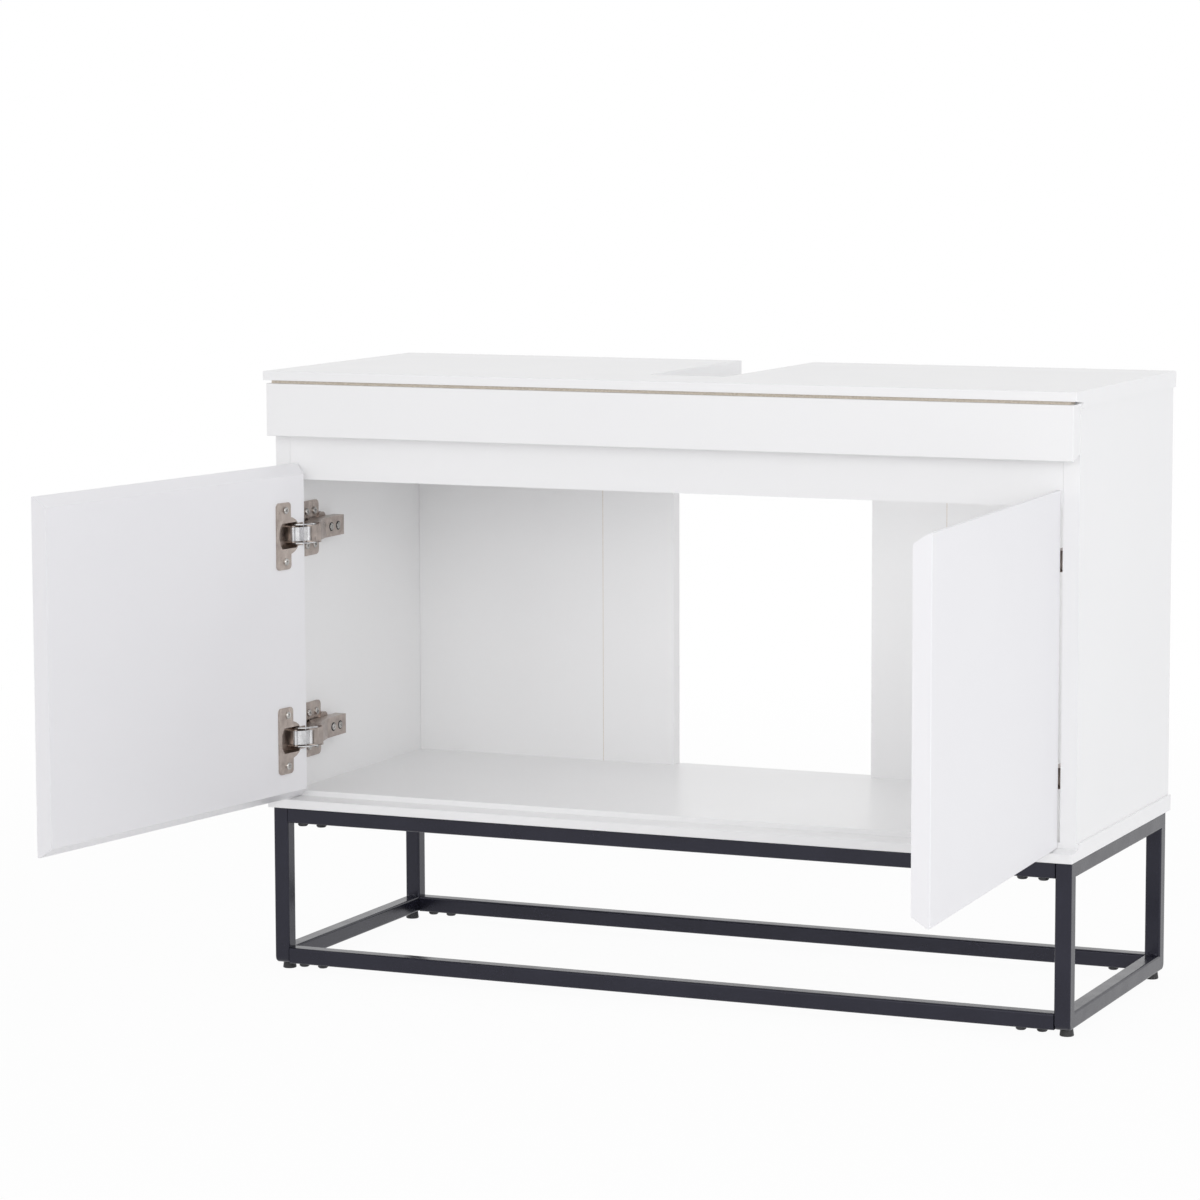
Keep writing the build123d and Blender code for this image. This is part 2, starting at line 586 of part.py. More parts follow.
def hinge_arm():
    back = arm_back()
    inner = offset_line(back, -ARM_WALL)
    front = NOSE_START
    web = outline(back + inner[::-1], -ARM_HALF_WIDTH, ARM_HALF_WIDTH)
    wide = block((-1, 60), (front, ARM_REAR + 1), (-ARM_HALF_WIDTH - 1, ARM_HALF_WIDTH + 1))
    narrow = block((-1, 60), (-30, ARM_REAR + 1), (-EAR_OUTER, EAR_OUTER))
    web &= wide + narrow
    side = back[:4] + [(back[3][0], front), (ARM_PIN[0] - 2.6, front), (12.0, 12.0),
                       (ARM_FOOT, 26.0), (ARM_FOOT, ARM_REAR)]
    nose = [(ARM_HEIGHT + 6, 18.0)] + back[3:] + [
        (ARM_PIN[0], ARM_PIN[1] - 2.6), (ARM_PIN[0] - 2.6, ARM_PIN[1]),
        (ARM_PIN[0] - 2.6, -2.0), (ARM_HEIGHT + 1, 10.0), (ARM_HEIGHT + 1, 18.0)]
    body = web
    for k in (-1, 1):
        body += outline(side, *sorted((k * (ARM_HALF_WIDTH - ARM_WALL), k * ARM_HALF_WIDTH)))
        body += outline(nose, *sorted((k * EAR_INNER, k * EAR_OUTER)))
    for pin in (ARM_PIN, INNER_ARM_PIN):
        body -= upright(pin, PIN_RADIUS, ARM_HALF_WIDTH + 1)
    for y in ADJUSTER_PLACES:
        body -= rod((ARM_HEIGHT + 1, y, 0), (-1, 0, 0), ADJUSTER_RADIUS + FIT_CLEARANCE, 4)
    return body


def mounting_plate():
    wing = block((0, PLATE_THICKNESS), (PLATE_FRONT, PLATE_REAR),
                 (-PLATE_HEIGHT / 2, PLATE_HEIGHT / 2))
    wing = fillet(wing.edges().filter_by(Axis.X), 5.0)
    saddle = block((0, ARM_HEIGHT - ARM_WALL), (SADDLE_FRONT, SADDLE_REAR),
                   (-SADDLE_HALF_WIDTH, SADDLE_HALF_WIDTH))
    lug = block((0, ARM_FOOT - 0.5), SADDLE_LUG, (0, SADDLE_LUG_TOP))
    lug = fillet(lug.edges().filter_by(Axis.X).group_by(Axis.Z)[-1], 5.0)
    body = wing + saddle + lug
    for k in (-1, 1):
        for y in (PLATE_SCREW_Y - PLATE_SCREW_COLUMNS / 2, PLATE_SCREW_Y + PLATE_SCREW_COLUMNS / 2):
            body -= rod((-1, y, k * PLATE_SCREW_ROWS / 2), (1, 0, 0), SCREW_RADIUS + FIT_CLEARANCE, 6)
    for y in ADJUSTER_PLACES:
        body -= rod((ARM_HEIGHT + 1, y, 0), (-1, 0, 0), ADJUSTER_RADIUS + FIT_CLEARANCE,
                    ADJUSTER_LENGTH + 1 + FIT_CLEARANCE)
    return body


def adjusting_screws():
    return [screw((ARM_HEIGHT, y, 0), (-1, 0, 0), ADJUSTER_LENGTH, ADJUSTER_RADIUS, 3.2, 1.0)
            for y in ADJUSTER_PLACES]


def plate_screws():
    """In the hinge frame, but at cabinet heights."""
    return [screw((PLATE_THICKNESS, y, z), (-1, 0, 0), PLATE_THICKNESS + PLATE_SCREW_DEPTH)
            for y, z in plate_screw_places()]


def cup_screws():
    """In the hinge frame, but at cabinet heights."""
    return [screw((CUP_SCREW_X, DOOR_INNER + FLANGE_THICKNESS, z + k * CUP_SCREW_SPACING / 2),
                  (0, -1, 0), FLANGE_THICKNESS + CUP_SCREW_DEPTH)
            for z in HINGE_HEIGHTS for k in (-1, 1)]


def at_both_hinges(shapes):
    """Copies of shapes made at height 0, at the heights of a door's two hinges."""
    return [Pos(0, 0, z) * shape for z in HINGE_HEIGHTS for shape in shapes]


# ---- a door's motion: the carrying link turns on the arm, and the door on the link ----

def link_opened(shape, angle):
    """The carrying link, turned on the arm pin for a door open by an angle."""
    return about(ARM_PIN, LINK_RATIO * angle) * shape


def inner_link_opened(shape, angle):
    return about(INNER_ARM_PIN, INNER_RATIO * angle) * shape


def door_opened(shape, angle):
    """A piece of the closed door, carried by the link and turned on the cup pin."""
    return about(ARM_PIN, LINK_RATIO * angle) * (about(CUP_PIN, -(1 + LINK_RATIO) * angle) * shape)


def about(place, angle):
    """A turn about a vertical line through an XY point."""
    return Pos(place[0], place[1], 0) * Rot(0, 0, angle) * Pos(-place[0], -place[1], 0)


def door_set(angle):
    """Every piece of the left door and its hinges at an opening angle, in the cabinet's frame."""
    closed = {
        "door": [left_door()],
        "hinge_cups": at_both_hinges([hinge_cup()]),
        "cup_pins": at_both_hinges([cup_pin()]),
        "cup_screws": cup_screws(),
    }
    pieces = {name: [door_opened(s, angle) for s in shapes] for name, shapes in closed.items()}
    pieces["outer_links"] = [link_opened(s, angle) for s in at_both_hinges([outer_link()])]
    pieces["inner_links"] = [inner_link_opened(s, angle) for s in at_both_hinges(inner_link_plates())]
    pieces["hinge_arms"] = at_both_hinges([hinge_arm()])
    pieces["arm_pins"] = at_both_hinges(arm_pins())
    pieces["mounting_plates"] = at_both_hinges([mounting_plate()])
    pieces["adjusting_screws"] = at_both_hinges(adjusting_screws())
    pieces["plate_screws"] = plate_screws()
    return {name: [to_cabinet(s) for s in shapes] for name, shapes in pieces.items()}


# ---- steel frame ----

def side_frame_window():
    return (FRAME_DEPTH - 2 * TUBE, FRAME_HEIGHT - 2 * TUBE)


def ring(grow, x):
    """A rectangular ring of the side frame's section, its walls grown by an amount."""
    outer = block(x, (-FRAME_DEPTH / 2 - grow, FRAME_DEPTH / 2 + grow),
                  (FOOT_HEIGHT - grow, FRAME_TOP + grow))
    outer = fillet(outer.edges().filter_by(Axis.X).group_by(Axis.Z)[0], FRAME_BEND + grow)
    return outer - block((x[0] - 1, x[1] + 1),
                         (-FRAME_DEPTH / 2 + TUBE - grow, FRAME_DEPTH / 2 - TUBE + grow),
                         (FOOT_HEIGHT + TUBE - grow, FRAME_TOP - TUBE + grow))


def left_side_frame():
    x = (-SIDE_OUTER, -SIDE_OUTER + TUBE)
    body = ring(0.0, x)
    long_edges = [e for e in body.edges() if e.center().X in (x[0], x[1]) or
                  min(abs(e.center().X - x[0]), abs(e.center().X - x[1])) < 0.01]
    body = fillet(long_edges, TUBE_CORNER)
    body -= ring(-TUBE_WALL, (x[0] + TUBE_WALL, x[1] - TUBE_WALL))
    for screw_x, y in frame_screw_places():
        body -= rod((screw_x, y, FRAME_TOP + 1), (0, 0, -1), SCREW_RADIUS + FIT_CLEARANCE, TUBE + 2)
    for foot_x, y in foot_places():
        body -= rod((foot_x, y, FOOT_HEIGHT - 1), (0, 0, 1), FOOT_STUD_RADIUS + FIT_CLEARANCE,
                    TUBE_WALL + 1.5)
    return body


def rail_places():
    """(centre y, centre z) of the four rails between the side frames."""
    y, low, high = (FRAME_DEPTH - TUBE) / 2, FOOT_HEIGHT + TUBE / 2, FRAME_TOP - TUBE / 2
    return {"front_bottom_rail": (-y, low), "front_top_rail": (-y, high),
            "back_bottom_rail": (y, low), "back_top_rail": (y, high)}


def square_tube(y, z, x):
    """A square tube along X, open at both ends."""
    half = TUBE / 2
    body = block(x, (y - half, y + half), (z - half, z + half))
    body = fillet(body.edges().filter_by(Axis.X), TUBE_CORNER)
    inner = half - TUBE_WALL
    bore = block((x[0] - 1, x[1] + 1), (y - inner, y + inner), (z - inner, z + inner))
    return body - fillet(bore.edges().filter_by(Axis.X), TUBE_CORNER - TUBE_WALL)


def rail(y, z):
    reach = SIDE_OUTER - TUBE
    body = square_tube(y, z, (-reach + SEAM, reach - SEAM))
    for x in rail_bolt_xs():
        body -= rod((x, y, z - TUBE), (0, 0, 1), RAIL_BOLT_RADIUS + FIT_CLEARANCE, TUBE)
    return body


def rail_bolt_xs():
    reach = SIDE_OUTER - TUBE
    return [side * (reach - inset) for side in (-1, 1) for inset in RAIL_BOLT_PLACES]


def spigots():
    """The blocks welded to the side frames that the rails slide over."""
    half = TUBE / 2 - TUBE_WALL - SPIGOT_CLEARANCE
    reach = SIDE_OUTER - TUBE
    made = []
    for y, z in rail_places().values():
        for side in (-1, 1):
            x = sorted((side * reach, side * (reach - SPIGOT_LENGTH)))
            body = block(x, (y - half, y + half), (z - half, z + half))
            body = fillet(body.edges().filter_by(Axis.X), TUBE_CORNER - TUBE_WALL)
            for bolt_x in rail_bolt_xs():
                if x[0] < bolt_x < x[1]:
                    body -= rod((bolt_x, y, z - TUBE), (0, 0, 1), RAIL_BOLT_RADIUS + FIT_CLEARANCE,
                                TUBE + half - 1.0)
            made.append(body)
    return group(made)


def rail_bolts():
    length = TUBE - 4.0
    return group([screw((x, y, z - TUBE / 2), (0, 0, 1), length, RAIL_BOLT_RADIUS,
                        RAIL_BOLT_HEAD_RADIUS, RAIL_BOLT_HEAD)
                  for y, z in rail_places().values() for x in rail_bolt_xs()])


def frame_screws():
    return group([screw((x, y, FRAME_TOP - TUBE), (0, 0, 1), TUBE + FRAME_SCREW_LENGTH)
                  for x, y in frame_screw_places()])


# ---- feet ----

def foot_places():
    x = SIDE_OUTER - TUBE / 2
    y = FRAME_DEPTH / 2 - FOOT_SETBACK
    return [(side_x * x, side_y * y) for side_y in (-1, 1) for side_x in (-1, 1)]


def foot(x, y):
    pad = Pos(x, y, 0) * Cone(FOOT_RADIUS, FOOT_TOP_RADIUS, FOOT_HEIGHT,
                              align=(Align.CENTER, Align.CENTER, Align.MIN))
    pad = fillet(pad.edges().group_by(Axis.Z)[0], 0.8)
    return pad + rod((x, y, FOOT_HEIGHT), (0, 0, 1), FOOT_STUD_RADIUS, FOOT_STUD_LENGTH)


# ---- the whole unit ----

def cabinet_pieces():
    side_panel, back_panel, back_post = left_side_panel(), left_back_panel(), left_back_post()
    side_frame = left_side_frame()
    pieces = {
        "top_board": top_board(),
        "base_board": base_board(),
        "left_side_panel": side_panel,
        "right_side_panel": mirrored(side_panel),
        "left_back_panel": back_panel,
        "right_back_panel": mirrored(back_panel),
        "left_back_post": back_post,
        "right_back_post": mirrored(back_post),
        "front_rail": front_rail(),
        "false_front": false_front(),
        "false_front_screws": false_front_screws(),
        "dowels": dowels(),
        "base_screws": base_screws(),
        "left_side_frame": side_frame,
        "right_side_frame": mirrored(side_frame),
        "rail_spigots": spigots(),
        "rail_bolts": rail_bolts(),
        "frame_screws": frame_screws(),
    }
    for name, place in rail_places().items():
        pieces[name] = rail(*place)
    corners = ("front_left_foot", "front_right_foot", "back_left_foot", "back_right_foot")
    for name, place in zip(corners, foot_places()):
        pieces[name] = foot(*place)
    for name, shapes in door_set(LEFT_DOOR_OPEN).items():
        pieces["left_" + name] = group(shapes)
    for name, shapes in door_set(RIGHT_DOOR_OPEN).items():
        pieces["right_" + name] = group([mirrored(shape) for shape in shapes])
    return pieces


def main():
    os.makedirs("parts", exist_ok=True)
    for name, shape in cabinet_pieces().items():
        export_step(shape, f"parts/{name}.step")


main()
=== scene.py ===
import json
from math import atan, cos, pi, radians, sin

import bmesh
import bpy
from mathutils import Matrix, Vector


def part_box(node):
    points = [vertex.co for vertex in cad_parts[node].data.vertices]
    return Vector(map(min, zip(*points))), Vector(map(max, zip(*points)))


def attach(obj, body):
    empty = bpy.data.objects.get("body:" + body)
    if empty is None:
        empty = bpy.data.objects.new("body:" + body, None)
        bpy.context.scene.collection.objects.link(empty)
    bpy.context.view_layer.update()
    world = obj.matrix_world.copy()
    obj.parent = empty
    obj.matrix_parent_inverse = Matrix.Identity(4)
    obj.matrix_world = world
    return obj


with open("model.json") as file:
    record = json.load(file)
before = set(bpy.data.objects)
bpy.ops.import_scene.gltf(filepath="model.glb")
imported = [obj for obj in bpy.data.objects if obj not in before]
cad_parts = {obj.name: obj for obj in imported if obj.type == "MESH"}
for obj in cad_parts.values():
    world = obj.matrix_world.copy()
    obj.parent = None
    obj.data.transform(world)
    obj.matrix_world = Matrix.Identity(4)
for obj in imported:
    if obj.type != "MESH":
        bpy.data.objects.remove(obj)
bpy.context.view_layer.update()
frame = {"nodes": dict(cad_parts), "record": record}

NODES = frame["nodes"]
SUBPARTS = frame["record"]["subparts"]
SLOTS = {part["node"]: part["material_slot"] for part in SUBPARTS}
WHITE = (1.0, 1.0, 1.0)

# ---- camera, solved from the corners of the boards ----
PHOTO_SIZE = 1200.0            # pixels, each way
FOCAL_PIXELS = 4254.8
CAMERA_PLACE = (1.4752, -3.6668, 0.8215)  # metres, as everywhere up to the small pieces
CAMERA_YAW, CAMERA_PITCH, CAMERA_ROLL = 23.509, 6.736, -0.157  # degrees
SENSOR = 36.0
CLIP_END = 60.0


def add_camera():
    data = bpy.data.cameras.new("camera")
    data.sensor_width = SENSOR
    data.sensor_fit = "HORIZONTAL"
    data.lens = FOCAL_PIXELS / PHOTO_SIZE * SENSOR
    data.clip_end = CLIP_END
    camera = bpy.data.objects.new("camera", data)
    turn = (Matrix.Rotation(radians(CAMERA_YAW), 4, "Z")
            @ Matrix.Rotation(radians(90.0 - CAMERA_PITCH), 4, "X")
            @ Matrix.Rotation(radians(CAMERA_ROLL), 4, "Z"))
    camera.matrix_world = Matrix.Translation(CAMERA_PLACE) @ turn
    bpy.context.scene.collection.objects.link(camera)
    bpy.context.scene.camera = camera


# ---- node helpers ----

def math_node(tree, operation, first, second):
    node = tree.nodes.new("ShaderNodeMath")
    node.operation = operation
    tree.links.new(first, node.inputs[0])
    tree.links.new(second, node.inputs[1])
    return node.outputs[0]


def map_range(tree, value, source, target, curve="LINEAR"):
    """The value, spread from the source's (low, high) to the target's."""
    node = tree.nodes.new("ShaderNodeMapRange")
    node.interpolation_type = curve
    node.inputs["From Min"].default_value, node.inputs["From Max"].default_value = source
    node.inputs["To Min"].default_value, node.inputs["To Max"].default_value = target
    tree.links.new(value, node.inputs["Value"])
    return node.outputs["Result"]


def seen_or_mirrored(tree):
    """A factor that is 1 for rays from the camera, mirrors and glass, and 0 for other rays."""
    path = tree.nodes.new("ShaderNodeLightPath").outputs
    seen = math_node(tree, "MAXIMUM", path["Is Camera Ray"], path["Is Glossy Ray"])
    return math_node(tree, "MAXIMUM", seen, path["Is Transmission Ray"])


def finish_mix(tree, output_kind, share, first, second):
    """Mixes two shaders by a share of the second and sends the result to the output."""
    mix = tree.nodes.new("ShaderNodeMixShader")
    out = tree.nodes.new(output_kind)
    tree.links.new(share, mix.inputs[0])
    tree.links.new(first.outputs[0], mix.inputs[1])
    tree.links.new(second.outputs[0], mix.inputs[2])
    tree.links.new(mix.outputs[0], out.inputs[0])


# ---- light, floor and backdrop ----
HORIZON_LIGHT, ZENITH_LIGHT = 0.84, 0.55
LIGHT_TINT = (0.99, 0.985, 1.0)

MIDDLE = (0.0, 0.0, 0.35)      # of the whole unit, which most lamps look at
COOL = (0.92, 0.95, 1.0)
LAMPS = (                      # name, place, target, size, watts, colour
    ("key", (2.4, -3.2, 1.5), MIDDLE, (2.2, 1.6), 28.0, WHITE),
    ("front", (-0.2, -4.2, 1.0), MIDDLE, (2.6, 1.6), 15.0, WHITE),
    ("right", (3.8, -0.8, 1.0), MIDDLE, (1.8, 1.8), 15.0, COOL),
    ("overhead", (0.0, 0.3, 3.4), MIDDLE, (2.6, 2.0), 5.0, WHITE),
    ("inside", (0.12, -0.075, 0.53), (0.12, 0.03, 0.20), (0.40, 0.05), 0.23, WHITE),
)

FLOOR_HALF = 8.0
FLOOR_WHITE = (0.86, 0.86, 0.86)
NEAR_GLOW = 0.955              # the rest of the floor's white is lit, and so shaded by the object
SHADOW_REACH = (0.55, 2.2)     # metres over which the floor fades to plain white


def set_world():
    world = bpy.data.worlds.new("studio")
    bpy.context.scene.world = world
    world.use_nodes = True
    tree = world.node_tree
    tree.nodes.clear()
    light = tree.nodes.new("ShaderNodeBackground")
    light.inputs["Color"].default_value = (*LIGHT_TINT, 1.0)
    direction = tree.nodes.new("ShaderNodeSeparateXYZ")
    tree.links.new(tree.nodes.new("ShaderNodeTexCoord").outputs["Generated"], direction.inputs[0])
    strength = map_range(tree, direction.outputs["Z"], (0.0, 1.0), (HORIZON_LIGHT, ZENITH_LIGHT))
    tree.links.new(strength, light.inputs["Strength"])
    white = tree.nodes.new("ShaderNodeBackground")
    white.inputs["Color"].default_value = (*WHITE, 1.0)
    white.inputs["Strength"].default_value = 1.0
    finish_mix(tree, "ShaderNodeOutputWorld", seen_or_mirrored(tree), light, white)


def add_lamp(name, place, target, size, power, colour):
    data = bpy.data.lights.new(name, "AREA")
    data.shape = "RECTANGLE"
    data.size, data.size_y = size
    data.energy = power
    data.color = colour
    lamp = bpy.data.objects.new(name, data)
    look = (Vector(target) - Vector(place)).to_track_quat("-Z", "Y")
    lamp.visible_camera = False
    lamp.matrix_world = Matrix.Translation(place) @ look.to_matrix().to_4x4()
    bpy.context.scene.collection.objects.link(lamp)


def add_floor():
    half = FLOOR_HALF
    mesh = bpy.data.meshes.new("floor")
    mesh.from_pydata([(-half, -half, 0), (half, -half, 0), (half, half, 0), (-half, half, 0)],
                     [], [(0, 1, 2, 3)])
    floor = bpy.data.objects.new("floor", mesh)
    bpy.context.scene.collection.objects.link(floor)
    material = bpy.data.materials.new("floor_white")
    material.use_nodes = True
    tree = material.node_tree
    tree.nodes.clear()
    paint = tree.nodes.new("ShaderNodeBsdfDiffuse")
    paint.inputs["Color"].default_value = (*FLOOR_WHITE, 1.0)
    glow = tree.nodes.new("ShaderNodeEmission")
    glow.inputs["Strength"].default_value = 1.0
    distance = tree.nodes.new("ShaderNodeVectorMath")
    distance.operation = "LENGTH"
    tree.links.new(tree.nodes.new("ShaderNodeTexCoord").outputs["Object"], distance.inputs[0])
    fade = map_range(tree, distance.outputs["Value"], SHADOW_REACH, (NEAR_GLOW, 1.0), "SMOOTHSTEP")
    share = math_node(tree, "MULTIPLY", seen_or_mirrored(tree), fade)
    finish_mix(tree, "ShaderNodeOutputMaterial", share, paint, glow)
    mesh.materials.append(material)


# ---- materials ----
NOISE_RANGE = (0.3, 0.7)       # the values that nearly all of a noise texture lies between


class Paint:
    """A principled material with helpers for procedural variation in object space."""

    def __init__(self, name, colour, roughness, metallic=0.0, specular=0.5):
        self.material = bpy.data.materials.new(name)
        self.material.use_nodes = True
        self.tree = self.material.node_tree
        self.tree.nodes.clear()
        self.shader = self.tree.nodes.new("ShaderNodeBsdfPrincipled")
        self.shader.inputs["Base Color"].default_value = (*colour, 1.0)
        self.shader.inputs["Roughness"].default_value = roughness
        self.shader.inputs["Metallic"].default_value = metallic
        self.shader.inputs["Specular IOR Level"].default_value = specular
        out = self.tree.nodes.new("ShaderNodeOutputMaterial")
        self.tree.links.new(self.shader.outputs[0], out.inputs[0])
        self.place = self.tree.nodes.new("ShaderNodeTexCoord").outputs["Object"]

    def noise(self, scale, detail, stretch=(1.0, 1.0, 1.0)):
        """Noise over the object coordinates, multiplied by an XYZ stretch."""
        mapping = self.tree.nodes.new("ShaderNodeMapping")
        mapping.inputs["Scale"].default_value = stretch
        self.tree.links.new(self.place, mapping.inputs["Vector"])
        node = self.tree.nodes.new("ShaderNodeTexNoise")
        node.inputs["Scale"].default_value = scale
        node.inputs["Detail"].default_value = detail
        self.tree.links.new(mapping.outputs[0], node.inputs["Vector"])
        return node.outputs["Fac"]

    def colour(self, noise, dark, pale, stops=NOISE_RANGE):
        """The colour drifts with the noise, from dark at the first stop to pale at the second."""
        node = self.tree.nodes.new("ShaderNodeValToRGB")
        for element, position, tone in zip(node.color_ramp.elements, stops, (dark, pale)):
            element.position = position
            element.color = (*tone, 1.0)
        self.tree.links.new(noise, node.inputs["Fac"])
        self.tree.links.new(node.outputs["Color"], self.shader.inputs["Base Color"])

    def roughness(self, noise, low, high):
        rough = map_range(self.tree, noise, NOISE_RANGE, (low, high))
        self.tree.links.new(rough, self.shader.inputs["Roughness"])

    def bump(self, noise, height, strength):
        """A bump of a real height in metres."""
        node = self.tree.nodes.new("ShaderNodeBump")
        node.inputs["Distance"].default_value = height
        node.inputs["Strength"].default_value = strength
        self.tree.links.new(noise, node.inputs["Height"])
        self.tree.links.new(node.outputs["Normal"], self.shader.inputs["Normal"])


def board_material():
    """White coated board: a satin skin with a faint pearl and shallow hand marks in the gloss."""
    paint = Paint("white_board", (0.91, 0.91, 0.91), 0.33)
    paint.colour(paint.noise(3.0, 4.0), (0.900, 0.900, 0.902), (0.920, 0.920, 0.920))
    paint.roughness(paint.noise(18.0, 4.0), 0.31, 0.36)
    paint.shader.inputs["Coat Weight"].default_value = 0.35
    paint.shader.inputs["Coat Roughness"].default_value = 0.22
    paint.bump(paint.noise(900.0, 2.0), 0.00002, 0.15)
    return paint.material


def door_material():
    """White foil on the doors: a little glossier, with an even fine grain along the height."""
    paint = Paint("white_door", (0.88, 0.877, 0.89), 0.34)
    paint.colour(paint.noise(2.5, 4.0), (0.870, 0.866, 0.884), (0.890, 0.886, 0.902))
    paint.roughness(paint.noise(14.0, 4.0), 0.30, 0.38)
    paint.bump(paint.noise(700.0, 2.0, (1.0, 1.0, 0.35)), 0.00003, 0.3)
    return paint.material


def steel_tube_material():
    """Fine black powder coat: even tiny grain, and dust-pale where it is slightly thinner."""
    paint = Paint("black_steel", (0.010, 0.010, 0.019), 0.23, specular=0.44)
    paint.shader.inputs["Specular Tint"].default_value = (0.86, 0.86, 1.0, 1.0)
    paint.colour(paint.noise(25.0, 5.0), (0.008, 0.008, 0.015), (0.013, 0.013, 0.022), (0.30, 0.72))
    paint.roughness(paint.noise(45.0, 4.0), 0.19, 0.27)
    paint.bump(paint.noise(1400.0, 3.0), 0.00002, 0.25)
    return paint.material


def moulded_material():
    """Black moulded plastic with a fine matt grain."""
    paint = Paint("black_plastic", (0.020, 0.020, 0.021), 0.5)
    paint.roughness(paint.noise(120.0, 3.0), 0.42, 0.58)
    paint.colour(paint.noise(80.0, 3.0), (0.016, 0.016, 0.017), (0.026, 0.026, 0.027))
    paint.bump(paint.noise(1200.0, 2.0), 0.00005, 0.4)
    return paint.material


def plated_material(name, dark, pale, rough, stretch=(1.0, 1.0, 1.0)):
    """Plated steel: the tone drifts, and fine tumbling marks run along one direction."""
    paint = Paint(name, pale, rough[0], metallic=1.0)
    paint.colour(paint.noise(140.0, 4.0), dark, pale)
    paint.roughness(paint.noise(420.0, 4.0, stretch), *rough)
    paint.bump(paint.noise(1500.0, 2.0, stretch), 0.00002, 0.5)
    return paint.material


def beech_material():
    """Beech dowels, with the grain along their length."""
    paint = Paint("beech", (0.62, 0.43, 0.25), 0.6)
    paint.colour(paint.noise(260.0, 5.0, (1.0, 1.0, 0.08)), (0.50, 0.33, 0.18), (0.70, 0.52, 0.32),
                 (0.25, 0.75))
    paint.bump(paint.noise(500.0, 3.0, (1.0, 1.0, 0.06)), 0.0001, 0.6)
    return paint.material


def core_and_painted_light_material():
    """Raw board core, seen only in narrow gaps: the brown of the back seams, and in the front gap a
    pale beige that is painted light, standing for the lit line in a gap that lies in shade.
    """
    paint = Paint("raw_core_and_painted_light", (0.68, 0.61, 0.52), 0.8)
    paint.colour(paint.noise(700.0, 4.0), (0.60, 0.53, 0.44), (0.76, 0.69, 0.60))
    paint.bump(paint.noise(900.0, 3.0), 0.0001, 0.5)
    return paint.material


def make_materials():
    return {
        "raw_core_and_painted_light": core_and_painted_light_material(),
        "white_board": board_material(),
        "white_door": door_material(),
        "beech": beech_material(),
        "black_steel": steel_tube_material(),
        "black_plastic": moulded_material(),
        "black_screw": plated_material("black_screw", (0.03, 0.03, 0.032), (0.07, 0.07, 0.075),
                                       (0.34, 0.48)),
        "zinc_screw": plated_material("zinc_screw", (0.40, 0.39, 0.38), (0.60, 0.59, 0.57),
                                      (0.22, 0.34)),
        "nickel": plated_material("nickel", (0.38, 0.325, 0.295), (0.52, 0.455, 0.415),
                                  (0.26, 0.36), (1.0, 1.0, 0.2)),
        "bright_steel": plated_material("bright_steel", (0.56, 0.56, 0.57), (0.74, 0.74, 0.75),
                                        (0.20, 0.30), (1.0, 1.0, 0.3)),
    }


def dress(materials):
    """Every CAD node gets the material of its slot."""
    for part in SUBPARTS:
        mesh = NODES[part["node"]].data
        mesh.materials.clear()
        mesh.materials.append(materials[part["material_slot"]])


# ---- small pieces that the frame leaves to this script, in mm ----
MM = 0.001
MERGE_REACH = 1e-6             # metres
SIDES = (("left", 1), ("right", -1))     # and the direction from that side to the middle, along X

# outline of the front gap's pale strip of painted light:
GAP_OUTLINE = ((-150.5, 557.6), (-150.5, 560.1), (-137.0, 559.1), (-137.0, 557.6))  # y, z
GAP_HALF_LENGTH = 388.0
SEAM_HALF_WIDTH = 0.35
SEAM_PROUD = 0.06              # how far the brown line stands before and behind the panels' face

TUBE_WALL, TUBE_CORNER = 1.2, 2.0        # the side tubes' wall and the radius of their edges
WALL_OVERLAP = 0.02

WELD_LEG = 2.4
WELD_CROWN = 0.42              # share of the leg at which the face's middle lies, along both legs
WELD_ROOT, WELD_TOE = 0.2, 0.1
WELD_INSET = 2.4               # from the sides of the tube
WELD_RIPPLES, STEPS_A_RIPPLE = 9, 4
WELD_BASE, WELD_SWELL = 0.92, 0.12       # shares of the leg between and on the ripples
WELD_END, WELD_TAPER = 0.45, 4.0         # share of the leg at an end, and how fast it grows

HEAD_FACE_REACH = 0.05         # points of a screw's front face lie this near its tip
RECESS_FLOOR_REACH = 0.2       # points of the recess's floor lie deeper than this
RECESS_SLACK = 1.05            # and within this share of the recess's radius
HEAD_EDGE = 0.97               # share of the head's radius beyond which lies its edge
RECESS_ARM = 0.9               # width of the cross's arms
CROSS_TURN = 0.35              # radians
CROSS_SINK = 0.12              # how far the sectors stay under the head's face
CROSS_ANGLE_SHARE = 0.97       # share of the recess's radius at which an arm has its full width
SECTOR_STEPS, SEAT_STEPS = 4, 32
SEAT_OVERLAP, SEAT_BORDER, SEAT_HEIGHT = 0.6, 1.1, 0.25
SEAT_SINK, SEAT_BEVEL = 0.05, 0.15


def add_piece(name, shape, body, material):
    """A finished bmesh, in mm, becomes a piece that rides on a body."""
    bmesh.ops.scale(shape, vec=(MM, MM, MM), verts=shape.verts)
    bmesh.ops.recalc_face_normals(shape, faces=shape.faces)
    mesh = bpy.data.meshes.new(name)
    shape.to_mesh(mesh)
    shape.free()
    mesh.materials.append(material)
    piece = bpy.data.objects.new(name, mesh)
    bpy.context.scene.collection.objects.link(piece)
    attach(piece, body)


def add_loft(shape, sections, closed=False):
    """Joins equal rings of points, in order, into one closed solid."""
    rings = [[shape.verts.new(point) for point in section] for section in sections]
    pairs = list(zip(rings, rings[1:])) + ([(rings[-1], rings[0])] if closed else [])
    for ring, following in pairs:
        for index, corner in enumerate(ring):
            shape.faces.new((ring[index - 1], corner, following[index], following[index - 1]))
    if not closed:
        shape.faces.new(rings[0])
        shape.faces.new(rings[-1])


def mm_box(node):
    low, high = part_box(node)
    return Vector(low) / MM, Vector(high) / MM


def tube_width():
    low, high = mm_box("front_bottom_rail")
    return high.z - low.z


